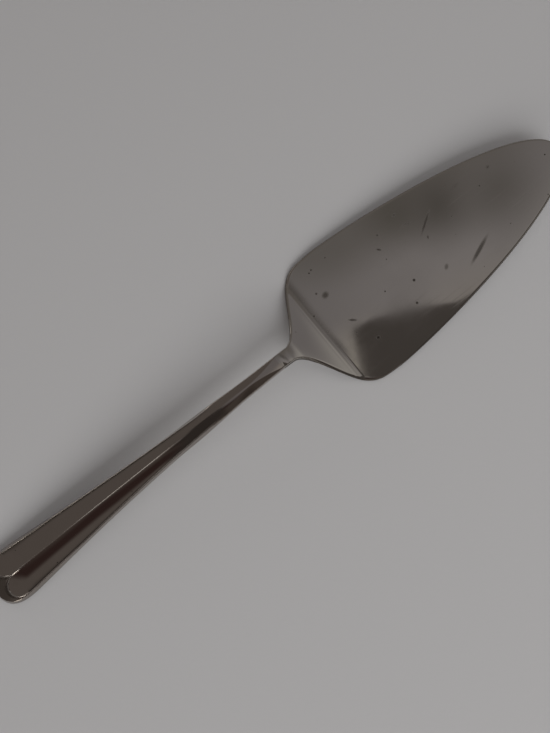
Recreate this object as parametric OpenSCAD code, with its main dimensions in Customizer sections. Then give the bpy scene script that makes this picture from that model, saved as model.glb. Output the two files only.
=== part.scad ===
/* [Blade] */
// Length of the blade, from the seam at the neck to the tip
blade_l = 128.8; // [112:0.2:145]
// Width across the leaf at its widest place
blade_w = 52.2; // [44:0.2:60]
// Thickness of the leaf
leaf_t = 1.2; // [0.8:0.1:2]
// Rounding of the leaf's edge, measured inwards in plan
leaf_edge = 0.8; // [0.5:0.05:1.1]
// Distance from the seam to the bend between the heel and the leaf
heel_l = 20.8; // [18:0.2:25]
// Distance from the seam to the widest place of the leaf
widest_l = 35; // [30:0.5:42]
// Distance from the seam to where the neck starts to flare
flare_gap = 3.8; // [1:0.2:6]
// Length over which the neck flares out to the shoulders
flare_l = 28; // [24:0.5:32]
// Angle of the leaf over the table, rising to the tip
leaf_angle = 3.4; // [1:0.1:6]
// Radius of the bend between the heel and the leaf
bend_r = 5; // [3:0.5:7]
// Radius of the crest, where the neck turns down into the heel
crest_r = 14; // [10:0.5:17]
// Length of the rounded tip, measured back along the middle
tip_l = 14; // [10:0.5:18]
// How straight the leaf's sides run before they close in, as a power
side_power = 1.4; // [1.2:0.05:1.7]
// How blunt the tip is, as a root
tip_root = 2.13; // [1.9:0.01:2.4]
// How square the shoulders are, as a power
shoulder_power = 4.8; // [4:0.1:5.6]

/* [Neck] */
// Height of the neck's middle over the table
neck_h = 10.2; // [8:0.1:11.5]
// Width of the neck at the seam
neck_w = 5.5; // [4.6:0.1:7]
// Thickness of the neck at the seam
neck_t = 3.4; // [2.6:0.1:4.2]
// Width of the band of weld metal, ground flush
weld_w = 0.8; // [0.4:0.1:1.6]

/* [Handle] */
// Length of the handle, from its end to the seam
handle_l = 120.4; // [105:0.2:135]
// Width across the handle at its end
handle_w = 18.4; // [15:0.2:22]
// Thickness of the handle at its end
handle_t = 2.3; // [1.8:0.1:3]
// Length of the rounded end, from the tip of the handle to the flutes' round ends
end_l = 9.8; // [8.6:0.1:12]
// Squareness of the rounded end, as a power
end_power = 2.6; // [2.2:0.1:3.2]
// Width of the handle's sloping side at its end, seen from above
rim_edge = 0.9; // [0.6:0.05:1.2]
// Width of the sloping side along the flutes, seen from above
slim_edge = 0.4; // [0.3:0.05:0.8]
// Extra width of the sloping side where the flutes run out
swell_w = 0.3; // [0:0.05:0.5]
// How quickly the handle narrows from its end, as a power
taper_power = 1.9; // [1.5:0.05:2.2]

/* [Ridge and flutes] */
// Thickness of the handle under the ridge between its flutes
ridge_t = 3.7; // [3.3:0.1:4.1]
// Distance from the handle's end to the start of the ridge
ridge_start_l = 5; // [4:0.5:6]
// Length over which the ridge rises to its full height
ridge_rise_l = 7.5; // [6:0.5:12]
// Rounding of the ridge's crest
ridge_round = 0.1; // [0.05:0.05:0.3]
// Rounding of the plain bar's crest beyond the flutes
bar_round = 1; // [0.5:0.1:1.5]
// Distance from the handle's end to where the ridge opens to the neck's flat top
flat_start_l = 98; // [92:1:100]
// Length over which the bar's crest turns crisp along that flat top
crisp_l = 12; // [8:1:16]
// Slope of the flutes beside the ridge, as an angle
flute_lean = 18.5; // [12:0.5:21]
// How hollow the flutes are, as a power
flute_power = 2; // [1.5:0.1:2.8]
// How hollow the flutes are by their round ends, as a power
end_flute_power = 1.6; // [1.4:0.1:2]
// Length of the flutes, from the handle's end to where they run out
flute_l = 86; // [70:1:90]
// Length of each flute's round end
flute_end_l = 4.6; // [3.6:0.1:5.4]
// Extra depth of the flutes by their round ends
hollow_d = 0.3; // [0:0.05:0.45]
// Length over which the shape of the round ends fades along the flutes
hollow_l = 40; // [20:1:50]
// Width of the raised thread that borders the flutes
thread_w = 0.5; // [0.4:0.05:0.8]
// Height of the raised thread
thread_h = 0.18; // [0.06:0.02:0.24]
// Length over which the thread fades beyond the flutes
thread_fade_l = 10; // [6:1:14]
// Rise of the neck's flat top between its two sides
crown_h = 0.05; // [0:0.05:0.2]
// Rise of the fluted part above the plain cap
panel_h = 0.2; // [0:0.02:0.3]
// Width of the slope from the fluted part down to the plain cap
panel_edge = 0.9; // [0.6:0.1:1.4]
// Bulge of the plain cap beyond the flutes
cap_h = 0.3; // [0:0.05:0.5]

/* [Hidden] */

// Counts of facets
heel_steps = 5;
bend_steps = 6;
shoulder_steps = 5;
leaf_steps = 14;
tip_steps = 10;
edge_steps = 8;
arm_steps = 44;
arc_steps = 8;
corner_steps = 3;

// Shares of a width, a depth or a length, from 0 to 1
leaf_row_shares = [0, 0.3, 0.6, 0.85, 1];
under_row_shares = [0.6, 0.3, 0];
flute_row_shares = [0, 0.3, 0.55, 0.78, 1];
thread_row_shares = [0.25, 0.5, 0.75, 1];
cap_row_shares = [0.35, 0.7, 1];
base_row_shares = [0.5, 0];
shoulder_drop_share = 0.12;
neck_edge_share = 0.2;
thread_limit_share = 0.2;
run_out_share = 0.8;
slim_start_share = 0.12;
slim_end_share = 0.3;
swell_place_share = 0.74;
swell_reach_share = 0.14;
bar_start_share = 0.7;
bar_end_share = 0.82;
end_ease_share = 0.03;
arris_reach_share = 0.5;
thin_start_share = 0.1;
thin_end_share = 0.85;
snap_share = 0.000001;

// Powers without a unit
flare_power = 2;
drop_power = 1.5;
arch_power = 1.5;
flat_power = 3.2;
draft_power = 0.5;

// Sizes worked out from the sizes above
total_l = handle_l + weld_w + blade_l;
seam_x = handle_l + weld_w;
neck_edge = neck_edge_share * neck_w / 2;
bend_x = seam_x + heel_l;
widest_x = seam_x + widest_l;
bend_z = leaf_t / 2;
tip_x = total_l - tip_l;
crest_gap = bend_z + bend_r + crest_r - neck_h;
centres_l = norm([heel_l, crest_gap]);
heel_angle = asin((crest_r + bend_r) / centres_l) - atan2(crest_gap, heel_l);
crest_end_x = seam_x + crest_r * sin(heel_angle);
bend_start_x = bend_x - bend_r * sin(heel_angle);
leaf_start_x = bend_x + bend_r * sin(leaf_angle);

function mix(a, b, t) = a + (b - a) * t;
function clamp(t) = max(0, min(1, t));
function smooth(t) = let(c = clamp(t)) c * c * (3 - 2 * c);
function snap(y) = abs(y) < snap_share * handle_l ? 0 : y;
function steps(a, b, n) = [for (i = [0 : n]) mix(a, b, i / n)];
function rest(list) = [for (i = [1 : len(list) - 1]) list[i]];
function reversed(list) = [for (i = [len(list) - 1 : -1 : 0]) list[i]];

// Side profile of the middle of the metal: handle arch, crest, heel, bend and leaf
function crest_z(x) = neck_h - crest_r + sqrt(max(0, crest_r * crest_r - pow(x - seam_x, 2)));
function ramp_z(x) = crest_z(crest_end_x) - (x - crest_end_x) * tan(heel_angle);
function bend_mid_z(x) = bend_z + bend_r - sqrt(max(0, bend_r * bend_r - pow(x - bend_x, 2)));
function leaf_z(x) = bend_mid_z(leaf_start_x) + (x - leaf_start_x) * tan(leaf_angle);
function blade_z(x) =
    x < seam_x ? neck_h :
    x < crest_end_x ? crest_z(x) :
    x < bend_start_x ? ramp_z(x) :
    x < leaf_start_x ? bend_mid_z(x) : leaf_z(x);
function blade_lean(x) =
    x < seam_x ? 0 :
    x < crest_end_x ? asin((x - seam_x) / crest_r) :
    x < bend_start_x ? heel_angle :
    x < leaf_start_x ? asin((bend_x - x) / bend_r) : -leaf_angle;

// Half of the blade's thickness, measured upright, from the neck's to the leaf's
function blade_half_t(x) =
    mix(neck_t, leaf_t, smooth((x - mix(seam_x, bend_x, thin_start_share))
        / ((thin_end_share - thin_start_share) * heel_l))) / 2 / cos(blade_lean(x));
function blade_edge(x) = mix(neck_edge, leaf_edge, smooth((x - seam_x) / heel_l));

// Half of the blade's width in plan: the leaf's curve, drawn in to the neck by the flare
function leaf_half_w(x) =
    let(u = (x - widest_x) / (total_l - widest_x))
    x > widest_x
        ? blade_w / 2 * pow(max(0, 1 - pow(u, side_power)), 1 / tip_root)
        : blade_w / 2 * (1 - shoulder_drop_share * pow((widest_x - x) / widest_l, drop_power));
function blade_half_w(x) =
    let(t = clamp((x - seam_x - flare_gap) / flare_l))
    mix(neck_w / 2, leaf_half_w(x), 1 - pow(1 - pow(t, flare_power), shoulder_power));
function blade_slant(x) =
    let(d = leaf_edge / 2) (blade_half_w(x + d) - blade_half_w(x - d)) / (2 * d);

// One side of the blade: rows of points across it, at places along its side and round its tip
blade_places = concat(
    steps(seam_x, crest_end_x, heel_steps),
    rest(steps(crest_end_x, bend_start_x, heel_steps)),
    rest(steps(bend_start_x, bend_x, bend_steps)),
    [leaf_start_x],
    rest(steps(leaf_start_x, widest_x, shoulder_steps)),
    rest(steps(widest_x, tip_x, leaf_steps)));
blade_turns = rest(steps(0, 90, tip_steps));

// The top starts with the handle's crown at the neck and is flat by the bend
function blade_crown(x) = crown_h * (1 - smooth((x - seam_x) / heel_l));
function leaf_top(x, y, s) = [x, snap(y), blade_z(x) + blade_half_t(x) + blade_crown(x) * (1 - s * s)];
function leaf_under(x, y) = [x, snap(y), blade_z(x) - blade_half_t(x)];
function blade_section(centre, inner, outer) = [
    for (s = leaf_row_shares) leaf_top(mix(centre[0], inner[0], s), mix(centre[1], inner[1], s), s),
    for (i = [1 : edge_steps - 1])
        let(a = 180 * i / edge_steps,
            x = mix(inner[0], outer[0], sin(a)), y = mix(inner[1], outer[1], sin(a)))
        [x, snap(y), blade_z(x) + blade_half_t(x) * cos(a)],
    leaf_under(inner[0], inner[1]),
    for (s = under_row_shares) leaf_under(mix(centre[0], inner[0], s), mix(centre[1], inner[1], s))];
blade_rows = concat(
    [for (x = blade_places)
        let(w = blade_half_w(x), e = blade_edge(x) * norm([1, blade_slant(x)]))
        blade_section([x, 0], [x, w - min(e, w)], [x, w])],
    [for (a = blade_turns)
        let(x = mix(tip_x, total_l, sin(a)), w = a < 90 ? blade_half_w(x) : 0,
            r = norm([x - tip_x, w]), k = 1 - leaf_edge / r)
        blade_section([tip_x, 0], [mix(tip_x, x, k), w * k], [x, w])]);

// Outline and side profile of the handle
function handle_half_w(x) =
    let(s = clamp((x - end_l) / (handle_l - end_l)), t = s * s / (s + end_ease_share))
    mix(neck_w / 2, handle_w / 2, pow(1 - min(1, t * (1 + end_ease_share)), taper_power))
        + swell_w * swell_at(x);
function bar_at(x) = smooth((x / handle_l - bar_start_share) / (bar_end_share - bar_start_share));
function slim_at(x) = smooth((x / handle_l - slim_start_share) / (slim_end_share - slim_start_share));
function swell_at(x) = pow(clamp(1 - pow((x / handle_l - swell_place_share) / swell_reach_share, 2)), 2);
function handle_edge(x) =
    mix(mix(rim_edge, slim_edge, slim_at(x)) + swell_w * swell_at(x), neck_edge, bar_at(x));
function handle_half_t(x) = mix(handle_t, neck_t, smooth(x / handle_l)) / 2;
function arch(x) = 1 - pow(1 - clamp(x / handle_l), arch_power);
end_lift = (handle_half_t(rim_edge) - neck_h * arch(rim_edge)) / (1 - arch(rim_edge));
function handle_low(x) = mix(end_lift, neck_h, arch(x)) - handle_half_t(x);

// Sizes of the flutes and their thread at a place along the handle
function inner_w(x) = handle_half_w(x) - handle_edge(x);
function thread_at(x) = min(thread_w, thread_limit_share * inner_w(x));
function flute_mid(x) = (inner_w(x) - thread_at(x) / 2) / 2;
function flute_half(x) = flute_mid(x) - thread_at(x) / 2;
function near_end(x) = 1 - smooth((x - end_l) / hollow_l);
function hollow_at(x) = hollow_d * near_end(x);
function thread_fade(x) = smooth((flute_l + thread_fade_l - x) / thread_fade_l);
function arris_fade(x) = 1 - smooth((x - end_l) / flute_end_l);
function bump(q, w) = q > 0 && q < w ? 1 - pow(2 * q / w - 1, 2) : 0;

// Sizes of a flute and its thread where its round end starts
end_mid = flute_mid(end_l);
end_half = flute_half(end_l);
end_thread = thread_at(end_l);

// The ridge: its sides fall away hollow along the flutes and straight along the bar, and it opens to a flat
function rounded(d, r) = norm([d, r]) - r;
function ridge_at(x) = smooth((x - ridge_start_l) / ridge_rise_l);
function run_out(x) = smooth((x / flute_l - run_out_share) / (1 - run_out_share));
function flat_at(x) = pow(clamp((x - flat_start_l) / (handle_l - flat_start_l)), flat_power);
function crest_round(x) =
    mix(ridge_round, bar_round, run_out(x) * (1 - smooth((x - flat_start_l) / crisp_l)));
function ridge_fall(x, y) =
    let(w = inner_w(max(x, end_l)), flat_w = w * flat_at(x), r = crest_round(x),
        run = rounded(w - flat_w, r),
        p = mix(mix(flute_power, end_flute_power, near_end(x)), 1, run_out(x)),
        s = run > 0 ? min(1, rounded(max(0, abs(y) - flat_w), r) / run) : 0)
    ridge_at(x) * tan(flute_lean) * run / p * (1 - pow(1 - s, p));

// Height of the handle's top: the ridge, the slope down to the cap, and a low bulge that falls to the edge
function edge_share(x, y) =
    pow(pow(clamp((end_l - x) / (end_l - rim_edge)), end_power)
        + pow(abs(y) / inner_w(max(x, end_l)), end_power), 1 / end_power);
function crown_at(x) =
    mix(cap_h, crown_h * flat_at(x), smooth((x - end_l + flute_end_l) / flute_end_l));
function middle_t(x) = mix(handle_t + panel_h, mix(ridge_t, neck_t, smooth(x / handle_l)), ridge_at(x));
function beyond_flute(x, y) =
    flute_end_l * max(0, norm([max(0, end_l - x) / (flute_end_l + end_thread),
        (abs(y) - end_mid) / (end_half + end_thread)]) - 1);
function handle_top(x, y) =
    handle_low(x) + middle_t(x) - ridge_fall(x, y)
        - (x < end_l ? panel_h * smooth(beyond_flute(x, y) / panel_edge) : 0)
        + crown_at(x) * (1 - pow(min(1, edge_share(x, y)), 2));

// A point in a flute, at a share of its half width, or on the thread, at a distance beyond the flute
function flute_point(x, y, s, d) = [x, snap(y), handle_top(x, y) - d * (1 - s * s)];
function thread_point(x, y, q, w, f) = [x, snap(y), handle_top(x, y) + thread_h * f * bump(q, w)];

// Rows across a flute to one side of its middle: side is 1 outwards, -1 inwards to the ridge
function arm_top(x, side) =
    let(c = flute_mid(x), r = flute_half(x), w = thread_at(x),
        f = side > 0 ? thread_fade(x) : arris_fade(x), reach = side > 0 ? 1 : arris_reach_share)
    concat(
        [for (s = flute_row_shares) flute_point(x, c + side * r * s, s, hollow_at(x))],
        [for (s = thread_row_shares)
            let(q = w * s * reach) thread_point(x, c + side * (r + q), q, w, f)],
        [for (s = cap_row_shares)
            thread_point(x, c + side * (r + w * reach), w * reach, w, f)]);

// The end: half ellipses round the end of a flute, out to the edge or to the line between the flutes
corner_turn = 90 + atan2(end_mid, end_l - rim_edge);
meet_turn = 180 - acos(end_mid / (end_half + end_thread));
meet_x = end_l - (flute_end_l + end_thread) * sin(meet_turn);
function end_reach(a) = a < meet_turn ? end_thread : min(end_thread, end_mid / -cos(a) - end_half);
function round_end(a, l, w) =
    let(b = 90 * a / corner_turn)
    [end_l - l * pow(sin(b), 2 / end_power), w * pow(max(0, cos(b)), 2 / end_power)];
function end_target(a) =
    a <= corner_turn ? (a < corner_turn ? round_end(a, end_l - rim_edge, inner_w(end_l)) : [rim_edge, 0]) :
    a < meet_turn ? [mix(rim_edge, meet_x, (a - corner_turn) / (meet_turn - corner_turn)), 0] :
    [end_l - (flute_end_l + end_reach(a)) * sin(a), 0];
function end_top(a) =
    let(reach = end_reach(a), target = end_target(a),
        tx = end_l - (flute_end_l + reach) * sin(a), ty = end_mid + (end_half + reach) * cos(a))
    concat(
        [for (s = flute_row_shares)
            flute_point(end_l - flute_end_l * s * sin(a), end_mid + end_half * s * cos(a), s, hollow_d)],
        [for (s = thread_row_shares)
            let(q = reach * s, x = end_l - (flute_end_l + q) * sin(a), y = end_mid + (end_half + q) * cos(a))
            thread_point(x, y, q, end_thread, 1)],
        [for (s = cap_row_shares)
            let(x = mix(tx, target[0], s), y = mix(ty, target[1], s))
            [x, snap(y), handle_top(x, y) + thread_h * bump(reach, end_thread)]]);

// The row that a point of the top stands on: the cap's rows close up where the thread meets the edge
thread_last = len(flute_row_shares) + len(thread_row_shares) - 1;
function top_row(i, j) =
    i > arm_steps && i < arm_steps + arc_steps + corner_steps ? j : min(j, thread_last);

// Rows down the side, which slopes out from the top and is rounded under, and across the flat underside
function handle_under(inner, outer) =
    let(low = handle_low(inner[0]), high = handle_top(inner[0], inner[1]),
        draft = mix(draft_power, 1, bar_at(inner[0])))
    concat(
        [for (i = [0 : edge_steps])
            let(k = i == 0 || i == edge_steps ? 0 : sin(180 * i / edge_steps),
                h = (1 + cos(180 * pow(i / edge_steps, draft))) / 2)
            [mix(inner[0], outer[0], k), snap(mix(inner[1], outer[1], k)), mix(low, high, h)]],
        [for (s = base_row_shares) [inner[0], snap(inner[1] * s), low]]);

arm_places = [for (i = [0 : arm_steps]) mix(handle_l, end_l, i / arm_steps)];
outer_turns = rest(steps(0, corner_turn, arc_steps));
inner_turns = concat(
    rest(steps(corner_turn, meet_turn, corner_steps)),
    rest(steps(meet_turn, 180, corner_steps + 1)));
handle_top_rows = concat(
    [for (x = arm_places) arm_top(x, 1)],
    [for (a = outer_turns) end_top(a)],
    [for (i = [0 : len(inner_turns) - 2]) end_top(inner_turns[i])],
    [for (x = reversed(arm_places)) arm_top(x, -1)]);
handle_under_rows = concat(
    [for (x = arm_places) handle_under([x, inner_w(x)], [x, handle_half_w(x)])],
    [for (i = [0 : arc_steps - 1])
        let(a = outer_turns[i], last = i == arc_steps - 1)
        handle_under(end_target(a), last ? [0, 0] : round_end(a, end_l, handle_w / 2))]);

// Faces between neighbouring rows of m points, without those that close to nothing.
// The list same gives each point the number of the first point at its place.
function row_faces(same, n, m, first) = [
    for (i = [0 : n - 2]) for (j = [0 : m - 2])
        let(a = first + i * m + j, b = a + m)
        for (f = [[a, b, b + 1], [a, b + 1, a + 1]])
            let(g = [for (k = f) same[k]])
            if (g[0] != g[1] && g[1] != g[2] && g[2] != g[0]) g];
function fan_faces(same, ring, hub) = [
    for (i = [1 : len(ring) - 1])
        let(a = same[ring[i - 1]], b = same[ring[i]])
        if (a != b) [hub, a, b]];
function turned(faces) = [for (f = faces) reversed(f)];
function flat(rows) = [for (r = rows) each r];

// A body mirrored over its middle plane, whose two sides share the points on that plane
module both_sides(points, faces) {
    n = len(points);
    other = [for (i = [0 : n - 1]) points[i][1] == 0 ? i : i + n];
    polyhedron(
        points = concat(points, [for (p = points) [p[0], -p[1], p[2]]]),
        faces = concat(faces, turned([for (f = faces) [for (i = f) other[i]]])),
        convexity = 6);
}

module blade() {
    m = len(blade_rows[0]);
    n = len(blade_rows);
    turn_first = len(blade_places);
    centre = (turn_first - 1) * m;
    same = [for (i = [0 : n - 1]) for (j = [0 : m - 1])
        i >= turn_first && j == 0 ? centre :
        i >= turn_first && j == m - 1 ? centre + m - 1 : i * m + j];
    color("silver")
        translate([-total_l / 2, 0, 0])
            both_sides(concat(flat(blade_rows), [[seam_x, 0, neck_h]]), concat(
                turned(row_faces(same, n, m, 0)),
                fan_faces(same, [for (j = [m - 1 : -1 : 0]) j], m * n)));
}

// Outline of the neck where the three pieces meet, the same as both their ends
neck_inner = neck_w / 2 - neck_edge;
neck_section = concat(
    [for (s = leaf_row_shares) [neck_inner * s, neck_t / 2 + crown_h * (1 - s * s)]],
    [for (i = [1 : edge_steps])
        let(a = 180 * i / edge_steps)
        [neck_inner + neck_edge * (i == edge_steps ? 0 : sin(a)), neck_t / 2 * cos(a)]]);

module weld_seam() {
    outline = concat(neck_section, [for (p = reversed(rest(neck_section))) [-p[0], p[1]]]);
    color("gainsboro")
        translate([handle_l - total_l / 2, 0, neck_h])
            rotate([90, 0, 90])
                linear_extrude(weld_w)
                    polygon(outline);
}

module handle() {
    m = len(handle_top_rows[0]);
    n = len(handle_top_rows);
    under_m = len(handle_under_rows[0]);
    under_n = len(handle_under_rows);
    points = concat(flat(handle_top_rows), flat(handle_under_rows), [[handle_l, 0, neck_h]]);
    top_same = [for (i = [0 : n - 1]) for (j = [0 : m - 1])
        j == 0 ? min(i, arm_steps, n - 1 - i) * m :
        i * m + top_row(i, j)];
    under_same = [for (i = [0 : under_n - 1]) for (j = [0 : under_m - 1])
        j == 0 ? top_same[i * m + m - 1] :
        m * n + i * under_m + (i == under_n - 1 ? min(j, edge_steps) : j)];
    same = concat(top_same, under_same);
    section = concat(
        [for (j = [m - 1 : -1 : 0]) (n - 1) * m + j],
        [for (j = [1 : m - 1]) j],
        [for (j = [1 : under_m - 1]) m * n + j]);
    color("lightgray")
        translate([-total_l / 2, 0, 0])
            both_sides(points, concat(
                row_faces(same, n, m, 0),
                row_faces(same, under_n, under_m, m * n),
                fan_faces(same, section, len(points) - 1)));
}

blade();
weld_seam();
handle();
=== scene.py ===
import bmesh
import bpy
import numpy as np
from mathutils import Matrix, Vector


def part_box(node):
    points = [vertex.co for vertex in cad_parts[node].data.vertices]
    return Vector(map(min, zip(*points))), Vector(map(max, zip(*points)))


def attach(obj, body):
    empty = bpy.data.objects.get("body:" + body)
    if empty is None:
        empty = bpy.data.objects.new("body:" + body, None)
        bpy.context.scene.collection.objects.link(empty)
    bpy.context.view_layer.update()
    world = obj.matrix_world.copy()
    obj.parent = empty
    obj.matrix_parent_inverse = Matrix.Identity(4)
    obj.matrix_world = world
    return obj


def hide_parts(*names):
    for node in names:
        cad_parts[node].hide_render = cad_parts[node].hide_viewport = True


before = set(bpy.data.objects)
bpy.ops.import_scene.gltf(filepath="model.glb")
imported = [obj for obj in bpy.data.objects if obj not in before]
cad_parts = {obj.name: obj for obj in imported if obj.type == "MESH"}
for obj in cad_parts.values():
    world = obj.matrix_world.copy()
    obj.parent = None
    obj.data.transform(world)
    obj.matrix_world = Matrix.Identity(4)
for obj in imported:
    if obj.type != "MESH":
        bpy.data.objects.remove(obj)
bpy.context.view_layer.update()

mm = 0.001  # metres in a millimetre; the dictionaries below are in millimetres and degrees
mergeGap = 0.0001  # mm; points closer than this are one point
sharpAngle = 62  # between two faces, past which their edge is shaded sharp
tiny = 1e-9  # keeps a division away from zero

bladeLow, bladeHigh = (np.array(corner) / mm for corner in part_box("blade"))
handleLow, handleHigh = (np.array(corner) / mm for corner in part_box("handle"))
handleLength = handleHigh[0] - handleLow[0]
totalLength = bladeHigh[0] - handleLow[0]
seamX = bladeLow[0] - handleLow[0]
print("frame loaded, total length", round(totalLength, 1), "mm")


def smoothStep(t):
    # From 0 to 1 with level ends: three times the square, less twice the cube.
    t = np.clip(t, 0, 1)
    return t * t * (3 - 2 * t)


def mix(a, b, t):
    # Straight blend from the first value to the second.
    return a + (b - a) * t


def stations(places, counts):
    # Runs from place to place, each run cut evenly into its count of steps.
    runs = [np.linspace(a, b, n, endpoint=False) for a, b, n in zip(places, places[1:], counts)]
    return np.concatenate(runs + [[places[-1]]])


def gridFaces(rows, columns, first):
    # The four corners of every cell between neighbouring rows and columns.
    i, j = np.meshgrid(np.arange(rows - 1), np.arange(columns - 1), indexing="ij")
    a = first + i * columns + j
    return np.stack([a, a + columns, a + columns + 1, a + 1], axis=-1).reshape(-1, 4)


def makePiece(name, sheets, node, material):
    # Joins the sheets and their mirror images over Y = 0, closes their seams and turns the faces outwards.
    # A sheet is a grid of points in millimetres from the handle's end, with each point's share of wear and
    # painted highlight, and of dirt and painted shade. A share of dirt and shade that differs from side to
    # side has a first
    # axis: the far side, then the near one.
    points, faces, wearAndHighlight, dirtAndShade, first = [], [], [], [], 0
    for grid, wearAndHighlightShare, dirtAndShadeShare in sheets:
        for which, side in enumerate((1, -1)):
            points.append((grid * (1, side, 1) - (totalLength / 2, 0, 0)).reshape(-1, 3))
            faces.append(gridFaces(*grid.shape[:2], first))
            wearAndHighlight.append(wearAndHighlightShare.ravel())
            dirtAndShade.append(np.broadcast_to(dirtAndShadeShare, (2,) + grid.shape[:2])[which].ravel())
            first += grid.shape[0] * grid.shape[1]
    mesh = bpy.data.meshes.new(name)
    mesh.from_pydata(np.concatenate(points) * mm, [], np.concatenate(faces))
    for title, values in (("wearAndHighlight", wearAndHighlight), ("dirtAndShade", dirtAndShade)):
        layer = mesh.attributes.new(title, "FLOAT", "POINT")
        layer.data.foreach_set("value", np.concatenate(values).astype(np.float32))
    shell = bmesh.new()
    shell.from_mesh(mesh)
    bmesh.ops.remove_doubles(shell, verts=shell.verts, dist=mergeGap * mm)
    bmesh.ops.recalc_face_normals(shell, faces=shell.faces)
    shell.to_mesh(mesh)
    shell.free()
    mesh.shade_smooth()
    mesh.set_sharp_from_angle(angle=np.radians(sharpAngle))
    mesh.materials.append(material)
    piece = bpy.data.objects.new(name, mesh)
    bpy.context.scene.collection.objects.link(piece)
    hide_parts(node)
    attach(piece, "root")
    print(name, "made,", len(mesh.polygons), "faces")
    return piece


def sectionPath(topSteps, edgeSteps, underSteps, crowd=1.0):
    # The way round half a section: a share from the middle out to the edge, and a turn from the top to the
    # underside. A crowd above 1 sets the rows of the top closer together towards the edge.
    top = 1 - (1 - np.linspace(0, 1, topSteps + 1)[:-1]) ** crowd
    share = np.concatenate([top, np.ones(edgeSteps + 1), np.linspace(1, 0, underSteps + 1)[1:]])
    turn = np.concatenate([
        np.zeros(topSteps), np.linspace(0, np.pi, edgeSteps + 1), np.full(underSteps, np.pi)])
    return share, turn


def hexToLinear(code, gain=1.0):
    # sRGB hex to linear red, green, blue and full cover; a gain makes a lamp brighter than white.
    channel = np.array([int(code[i:i + 2], 16) for i in (1, 3, 5)]) / 255
    linear = np.where(channel <= 0.04045, channel / 12.92, ((channel + 0.055) / 1.055) ** 2.4)
    return (*(gain * linear).tolist(), 1.0)


def addNode(tree, kind, inputs={}, **settings):
    # Adds a node, sets its options, and gives each input a value or a link from another node's socket.
    node = tree.nodes.new("ShaderNode" + kind)
    for name, value in settings.items():
        setattr(node, name, value)
    for name, value in inputs.items():
        if isinstance(value, bpy.types.NodeSocket):
            tree.links.new(value, node.inputs[name])
        else:
            node.inputs[name].default_value = value
    return node


def bareTree(owner):
    # Gives a material or a world an empty node tree.
    owner.use_nodes = True
    owner.node_tree.nodes.clear()
    return owner.node_tree


def patternScale(sizes):
    # Scale of a pattern whose features have these sizes in millimetres.
    return tuple(1 / (size * mm) for size in sizes)


# Finish of the steel: 18/8 stainless, buffed to a mirror and dulled by years of washing and drawers.
leafFinish = {
    "steel": "#bab5ae",  # buffed stainless, a little warm
    "grimeAndShade": "#4a443e",  # dried tea-coloured film and water marks; also painted shade under the edges, and the bend's darker line
    "bright": "#d9d6d2",  # steel rubbed bright on the high edges, and the painted highlight along the handle's thread
    "roughness": 0.025,  # of the clean polish; the next five are added to it
    "hazeRoughness": 0.03,  # where the film is thick
    "dirtRoughness": 0.6,  # where dirt, a spot and painted shade lie
    "scratchRoughness": 0.08,
    "buffRoughness": 0.03,  # along the buffing lines
    "wearAndHighlightRoughness": 0.12,  # where an edge is worn, and where a highlight is painted
    "hazeSize": 32,  # mm across one patch of film
    "hazeRange": (0.42, 0.72),  # values of the noise from no film to a thick one
    "hazeDirt": 0.04,  # how much a thick film counts as dirt
    "ripple": 0.006,  # mm, height of the stamped sheet's waviness
    "rippleSize": 30,  # mm from wave to wave
    "buffAngle": 2,  # degrees from the length, the way of the buffing lines
    "buffSize": (60, 0.45, 4),  # mm along, across and up; real ones are 0.02 mm wide, drawn coarser to show
    "buffDepth": 0.00012,  # mm
    "scratchAngles": (28, -41, 74),  # degrees from the length
    "scratchSize": (26, 0.5, 9),  # mm along, across and up; drawn coarser so that they show
    "scratchRange": (0.7, 0.8),  # values of the noise from no scratch to a full one
    "scratchDepth": 0.00048,  # mm
    "spotCell": 8.5,  # mm from one water spot to the next
    "spotSize": 0.42,  # mm, radius of the largest water spots
    "spotRange": (0.6, 1.0),  # a cell's random draw, from no spot to the largest
    "spotSoftness": 0.8,  # share of that radius over which a spot fades in
    "markRange": (1.3, 0.3),  # shares of a mark's size, from clear steel to its full dark
    "marks": (
        # centre x and y from the leaf's seam and middle, angle, half length, half width, how dark
        (73.4, 8.3, 33, 5.4, 0.55, 0.6),
        (81.7, -11.5, 22, 6.2, 0.8, 0.5),
        (28.7, 10.1, 20, 1.5, 1.25, 0.5),
        (54, 11, -50, 1, 0.4, 0.6),
        (57, 15.5, 0, 0.45, 0.45, 0.6),
        (66.5, 17.5, 10, 1.1, 0.7, 0.45),
        (68, 12, -20, 2.4, 0.6, 0.35),
        (70.5, 3.5, 60, 0.8, 0.4, 0.5),
        (56.5, -5.5, 0, 0.55, 0.55, 0.8),
        (52, -12.5, 0, 0.5, 0.5, 0.7),
        (68.5, -9, 40, 1.3, 0.8, 0.3),
        (30.5, -3, -40, 1.6, 0.45, 0.5),
        (33.5, -13.5, 0, 0.8, 0.7, 0.9),
        (30.5, 20.5, 0, 0.45, 0.45, 0.6),
        (26.5, 12.5, 0, 0.45, 0.45, 0.6),
        (104, 10, 30, 0.8, 0.6, 0.5),
        (82, 4, 0, 0.4, 0.4, 0.5),
        (90, 12, 5, 2, 0.6, 0.3),
    ),
}


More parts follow.
